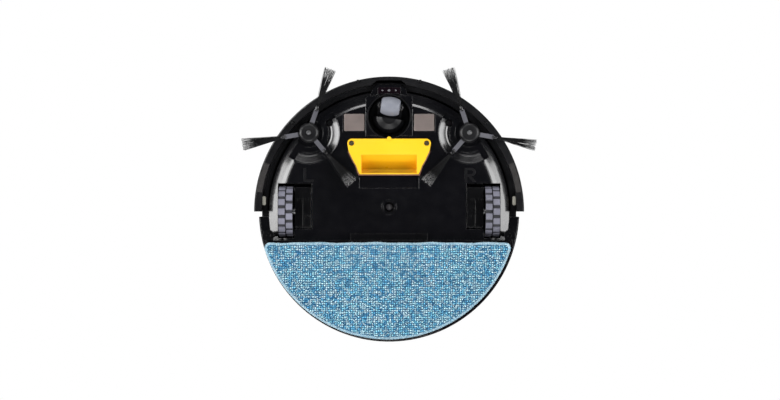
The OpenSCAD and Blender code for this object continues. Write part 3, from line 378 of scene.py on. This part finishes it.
def cloth_sheet():
    insets = np.array([0.0, 0.5, 1.4, 3.0, 5.5, 9.0]) * MM
    rings = [rim - outward * d for d in insets]
    inner = rings[-1]
    rings += [middle + (inner - middle) * s for s in (0.86, 0.7, 0.54, 0.38, 0.22, 0.08)]
    count = len(rim)
    under_z = [3.0, 2.45, 2.35, 2.5, 2.3, 2.3] + [2.3] * 6
    upper_z = [3.4, 4.1, 4.35, 4.55, 4.65, 4.7] + [4.7] * 6
    verts, faces = [], []
    for heights, bulge in ((under_z, 1), (upper_z, 0)):
        for ring, z in zip(rings, heights):
            verts += [(x, y, z * MM + bulge * swell(x, y)) for x, y in ring]
    total = len(rings) * count
    for layer in (0, total):
        for r in range(len(rings) - 1):
            for i in range(count):
                a, b = layer + r * count + i, layer + r * count + (i + 1) % count
                quad = (a, b, b + count, a + count)
                faces.append(quad[::-1] if layer == 0 else quad)
        last = [layer + (len(rings) - 1) * count + i for i in range(count)]
        faces.append(tuple(last[::-1]) if layer == 0 else tuple(last))
    faces += [(i, (i + 1) % count, total + (i + 1) % count, total + i) for i in range(count)]
    return verts, faces


def inside(points, margin):
    """Which points lie inside the cloth's edge by at least margin."""
    rel = points - (cloth_x, 0)
    corner_x, corner_y, _ = corner_centre()
    ok = (np.linalg.norm(rel - (0, arc_y), axis=1) < arc_r - margin) & (points[:, 1] > front_y + margin)
    beyond = (np.abs(rel[:, 0]) > corner_x) & (points[:, 1] < corner_y)
    near = np.hypot(np.abs(rel[:, 0]) - corner_x, points[:, 1] - corner_y) < corner_r - margin
    return ok & (~beyond | near)


def pile(pitch, offset):
    """Short loops of yarn in staggered rows, each leaning its own way."""
    xs = np.arange(cloth_x - arc_r, cloth_x + arc_r, pitch)
    ys = np.arange(front_y, arc_r, pitch)
    grid = np.stack(np.meshgrid(xs, ys), axis=-1)
    grid[1::2, :, 0] += pitch / 2
    at = grid.reshape(-1, 2) + offset + rng.normal(0, pitch * 0.11, (grid.shape[0] * grid.shape[1], 2))
    at = at[inside(at, 2.6 * MM)]
    count = len(at)
    heading = rng.normal(0, 0.32, count)
    wide = rng.uniform(0.6, 1.15, count) * MM
    tall = rng.uniform(0.95, 1.5, count) * MM
    lean = rng.normal(0, 0.35, (count, 2)) * MM
    share = np.array([-1.0, -0.75, 0.0, 0.75, 1.0])
    drop = np.array([0.0, 0.75, 1.0, 0.75, 0.0])
    x = at[:, 0:1] + np.cos(heading)[:, None] * wide[:, None] * share + lean[:, 0:1] * drop
    y = at[:, 1:2] + np.sin(heading)[:, None] * wide[:, None] * share + lean[:, 1:2] * drop
    z = 2.55 * MM + swell(x, y) - (tall[:, None] + 0.2 * MM) * drop
    thick = rng.uniform(0.27, 0.42, count)[:, None] * MM * np.array([0.9, 1.05, 1.15, 1.05, 0.9])
    z = np.maximum(z, cloth_low.z + thick + 0.02 * MM)
    return tubes(np.stack([x, y, z], axis=-1), thick, 3)


STITCH = 1.1 * MM


def overlock():
    """Slanted passes of thread over the cloth's edge, one at each stitch."""
    count = int(rim_length / STITCH)
    line, _ = cloth_outline(count)
    ahead = np.roll(line, -1, 0) - np.roll(line, 1, 0)
    ahead /= np.linalg.norm(ahead, axis=1, keepdims=True)
    out = np.stack([ahead[:, 1], -ahead[:, 0]], axis=1)
    inset = np.array([2.5, 1.7, 0.8, 0.0, -0.1, 0.8]) * MM
    slant = np.array([0.0, 0.35, 0.75, 1.1, 1.2, 1.2]) * MM
    height = np.array([2.15, 1.95, 1.85, 2.35, 3.3, 4.2]) * MM
    spot = line[:, None, :] - out[:, None, :] * inset[None, :, None]
    spot = spot + ahead[:, None, :] * slant[None, :, None]
    spot += rng.normal(0, 0.09 * MM, spot.shape)
    z = np.broadcast_to(height, spot.shape[:2]) + rng.normal(0, 0.06 * MM, spot.shape[:2])
    paths = np.concatenate([spot, z[..., None]], axis=-1)
    return tubes(paths, np.full(paths.shape[:2], 0.36 * MM), 5)


cloth = piece("mop_cloth_sheet", *cloth_sheet(), backing, "mop", "mop_cloth")
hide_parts("mop_cloth")
pile_near = piece("mop_cloth_pile_a", *pile(2.0 * MM, 0.0), yarn, "mop", "mop_cloth")
pile_far = piece("mop_cloth_pile_b", *pile(2.0 * MM, 1.0 * MM), yarn, "mop", "mop_cloth")
hem = piece("mop_cloth_overlock", *overlock(), thread, "mop", "mop_cloth")


# ---- side brushes: sheaths and real tufts on the CAD's arms ----

def bristle_arms(node, screw):
    """Axis, phase, root and tip of a CAD brush's three bristle wedges. The screw is on the brush's axis."""
    axis = np.array(middle_of(screw)[:2])
    co = np.array([v.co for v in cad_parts[node].data.vertices])
    rel = co[:, :2] - axis
    r = np.linalg.norm(rel, axis=1)
    phase = np.angle(np.mean(((rel[:, 0] + 1j * rel[:, 1]) / r) ** 3)) / 3
    near, away = r < r.min() + 2 * MM, r > r.max() - 2 * MM
    return axis, phase, (r[near].mean(), co[near, 2].mean()), (r[away].mean(), co[away, 2].mean())


TUFT_STRANDS = 120


def brush(side):
    axis, phase, root, tip = bristle_arms("brush_bristles_" + side, "brush_screw_" + side)
    (root_r, root_z), (tip_r, tip_z) = root, tip
    slope = (tip_z - root_z) / (tip_r - root_r)
    strands, sheaths, sheath_r = [], [], []
    for k in range(3):
        angle = phase + k * 2 * math.pi / 3
        ahead = np.array([math.cos(angle), math.sin(angle)])
        across = np.array([-math.sin(angle), math.cos(angle)])

        def point(r, off, lift=0.0):
            xy = axis + ahead * r + across * off
            return (xy[0], xy[1], root_z + slope * (r - root_r) + lift)

        for _ in range(TUFT_STRANDS):
            start = rng.normal(0, 0.5) * MM
            spread = rng.uniform(-6.2, 6.2) * MM
            reach = tip_r - abs(rng.normal(0, 1.6)) * MM
            bow = rng.normal(0, 0.5) * MM
            lifts = rng.normal(0, 0.25) * MM
            run = np.linspace(root_r + 1 * MM, reach, 5)
            share = (run - run[0]) / (run[-1] - run[0])
            strands.append([point(r, start + spread * s ** 1.1 + bow * math.sin(math.pi * s), lifts * s)
                            for r, s in zip(run, share)])
        sheaths.append([point(root_r - 1.5 * MM + d * MM, 0) for d in (0, 1.5, 3, 5, 6)])
        sheath_r.append(np.array([1.9, 1.9, 1.8, 1.65, 1.3]) * MM)
    strands = np.array(strands)
    width = np.broadcast_to(np.array([0.24, 0.24, 0.22, 0.19, 0.12]) * MM, strands.shape[:2])
    name = "side_brush_" + side
    tuft = piece("brush_tufts_" + side, *tubes(strands, width, 3), nylon[side], name, "bristle")
    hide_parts("brush_bristles_" + side)
    piece("brush_sheaths_" + side, *tubes(np.array(sheaths), np.array(sheath_r), 12), brush_black, name,
          "brush_rubber")


def nylon_with_painted_glints(side):
    """Black nylon that turns grey towards the tips, a painted glint of light on the strands, by distance from
    the brush's own axis.
    """
    x, y, _ = middle_of("brush_screw_" + side)
    f = Finish("nylon_" + side)
    flat = f.add("ShaderNodeVectorMath", {0: f.at, 1: (1, 1, 0)}, operation="MULTIPLY").outputs[0]
    away = f.add("ShaderNodeVectorMath", {0: flat, 1: (x, y, 0)},
                 operation="DISTANCE").outputs["Value"]
    reached = f.span(away, 0.0, 0.85, 60 * MM, 78 * MM)
    # painted highlight: the grey towards the tips stands in for glints of light on the black strands
    painted_glint = f.maths("MULTIPLY", reached, f.span(f.noise(900.0), 0.0, 1.0, 0.45, 0.55))
    dark = f.mix(f.span(f.noise(500.0), 0, 1), (0.0008, 0.0008, 0.001), (0.003, 0.003, 0.004))
    f.set(Base_Color=f.mix(painted_glint, dark, (0.55, 0.55, 0.55)), Roughness=f.span(f.noise(300.0), 0.5, 0.7),
          IOR=1.3, Normal=f.bump(f.noise(3000.0), 0.1, 0.02 * MM))
    return f


nylon = {side: nylon_with_painted_glints(side) for side in "lr"}
for side in "lr":
    brush(side)


# ---- emitters and receiver that show through the floor sensor's window ----

def dome(name, at, radius, depth, finish, body, slot):
    """A low lens bead: a dome facing down, closed by a flat back."""
    turns, steps = 20, 5
    verts = [(at[0], at[1], at[2] - depth)]
    for k in range(1, steps + 1):
        a = k / steps * math.pi / 2
        verts += [(at[0] + radius * math.sin(a) * math.cos(t), at[1] + radius * math.sin(a) * math.sin(t),
                   at[2] - depth * math.cos(a)) for t in np.arange(turns) * 2 * math.pi / turns]
    faces = [(0, 1 + i, 1 + (i + 1) % turns) for i in range(turns)]
    for k in range(steps - 1):
        a, b = 1 + k * turns, 1 + (k + 1) * turns
        faces += [(a + i, b + i, b + (i + 1) % turns, a + (i + 1) % turns) for i in range(turns)]
    faces.append(tuple(1 + (steps - 1) * turns + i for i in reversed(range(turns))))
    return piece(name, verts, faces, finish, body, slot)


lens_low, lens_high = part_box("cliff_sensor_lens")
lens_y = (lens_low.y + lens_high.y) / 2
clear_bead = moulded("sensor_bead", (0.13, 0.13, 0.14), 0.2, mottle=0.1, depth=0.02, coat=0.5)
for name, x, size in (("cliff_bead_l", -7.4, 1.0), ("cliff_bead_m", 0.0, 1.5), ("cliff_bead_r", 7.4, 1.0)):
    at = (x * MM, lens_y, lens_low.z + 0.01 * MM)
    dome(name, at, size * MM, 0.6 * MM, clear_bead, "chassis", "sensor_lens")


# ---- side marks, standing 0.25 mm proud of the flat underside ----

def mark(name, left, top, loops):
    """A letter facing down, from outlines in millimetres: right is +X and up is -Y."""
    shape = bpy.data.curves.new(name, "CURVE")
    shape.dimensions, shape.fill_mode = "2D", "BOTH"
    shape.extrude, shape.bevel_depth = 0.2 * MM, 0.08 * MM
    for loop in loops:
        spline = shape.splines.new("POLY")
        spline.points.add(len(loop) - 1)
        for point, (x, y) in zip(spline.points, loop):
            point.co = (x * MM, y * MM, 0, 1)
        spline.use_cyclic_u = True
    shape.materials.append(shell_black.mat)
    made = bpy.data.objects.new(name, shape)
    made.location = (left * MM, top * MM, 13.0 * MM)
    made.rotation_euler = (math.pi, 0, 0)
    bpy.context.scene.collection.objects.link(made)
    bpy.context.view_layer.update()
    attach(made, "chassis")


def bowl(cx, cy, rx, ry):
    """The round right-hand side of a letter, from its top to its foot."""
    angles = np.linspace(math.pi / 2, -math.pi / 2, 14)
    return [(cx + rx * math.cos(a), cy + ry * math.sin(a)) for a in angles]


mark("side_mark_l", -94.6, -32.8, [[(0, 0), (11, 0), (11, 2.6), (2.8, 2.6), (2.8, 15.5), (0, 15.5)]])
mark("side_mark_r", 83.8, -32.8, [
    [(0, 0), (0, 15.5), (7.5, 15.5)] + bowl(7.5, 10.9, 4.6, 4.6)
    + [(7.2, 6.3), (12.2, 0), (8.9, 0), (4.6, 5.6), (2.8, 5.6), (2.8, 0)],
    [(2.8, 8.5), (7.0, 8.5)] + bowl(7.0, 10.8, 2.4, 2.3)[::-1] + [(2.8, 13.1)]])


# ---- studio ----

def softbox(name, at, towards, size, power):
    light = bpy.data.lights.new(name, "AREA")
    light.shape, light.size, light.size_y, light.energy = "RECTANGLE", size[0], size[1], power
    made = bpy.data.objects.new(name, light)
    made.location = at
    made.rotation_euler = (Vector(towards) - Vector(at)).to_track_quat("-Z", "Y").to_euler()
    made.visible_camera = False
    bpy.context.scene.collection.objects.link(made)


softbox("box_left", (-1.35, -0.15, -0.75), (0, 0, 0), (1.1, 1.25), 26)
softbox("box_right", (1.35, -0.15, -0.75), (0, 0, 0), (1.1, 1.25), 22)
softbox("box_front", (0, -1.5, -1.0), (0, 0, 0), (1.2, 0.5), 9)
softbox("box_rear", (0, 1.5, -1.2), (0, 0, 0), (1.4, 0.7), 16)
softbox("box_above_a", (-1.1, -0.9, 1.5), (0, 0, 0), (1.2, 1.0), 32)
softbox("box_above_b", (1.2, 0.8, 1.4), (0, 0, 0), (1.0, 1.0), 20)

world = bpy.data.worlds.new("studio")
world.use_nodes = True
bpy.context.scene.world = world
tree = world.node_tree
tree.nodes.clear()
path = tree.nodes.new("ShaderNodeLightPath")
out = tree.nodes.new("ShaderNodeOutputWorld")
seen, fill, gloss = (tree.nodes.new("ShaderNodeBackground") for _ in range(3))
seen.inputs[0].default_value, seen.inputs[1].default_value = (1, 1, 1, 1), 1.0
fill.inputs[0].default_value, fill.inputs[1].default_value = (1, 1, 1, 1), 0.42
gloss.inputs[0].default_value, gloss.inputs[1].default_value = (0.8, 0.85, 1, 1), 0.014
soft, whole = tree.nodes.new("ShaderNodeMixShader"), tree.nodes.new("ShaderNodeMixShader")
for a, b in ((path.outputs["Is Glossy Ray"], soft.inputs[0]), (fill.outputs[0], soft.inputs[1]),
             (gloss.outputs[0], soft.inputs[2]), (path.outputs["Is Camera Ray"], whole.inputs[0]),
             (soft.outputs[0], whole.inputs[1]), (seen.outputs[0], whole.inputs[2]),
             (whole.outputs[0], out.inputs[0])):
    tree.links.new(a, b)

# the floor shows from above only, so that the underside can be seen through it from below
bpy.ops.mesh.primitive_plane_add(size=6, location=(0, 0, 0))
floor = bpy.context.object
floor.name = "floor"
ground = Finish("pale_floor")
pale_tone = ground.mix(ground.span(ground.noise(6.0), 0, 1), (0.80, 0.80, 0.79), (0.84, 0.84, 0.83))
ground.set(Base_Color=pale_tone, Roughness=ground.span(ground.noise(40.0), 0.5, 0.6),
           Normal=ground.bump(ground.noise(300.0), 0.05, 0.2 * MM))
clear = ground.add("ShaderNodeBsdfTransparent").outputs[0]
back = ground.add("ShaderNodeNewGeometry").outputs["Backfacing"]
either = ground.add("ShaderNodeMixShader", {0: back, 1: ground.shader.outputs[0], 2: clear}).outputs[0]
ground.tree.links.new(either, ground.tree.nodes["Material Output"].inputs["Surface"])
floor.data.materials.append(ground.mat)
floor.visible_shadow = floor.visible_glossy = floor.visible_diffuse = False

camera = bpy.data.objects.new("camera", bpy.data.cameras.new("camera"))
bpy.context.scene.collection.objects.link(camera)
bpy.context.scene.camera = camera
distance = 2.0
frame_width = 0.8635
underside_z = 13 * MM
camera.location = (0.001, -0.0128, underside_z - distance)
camera.rotation_euler = (math.pi, 0, 0)
camera.data.sensor_width = 36
camera.data.lens = camera.data.sensor_width * distance / frame_width
bpy.context.scene.view_settings.view_transform = "Standard"
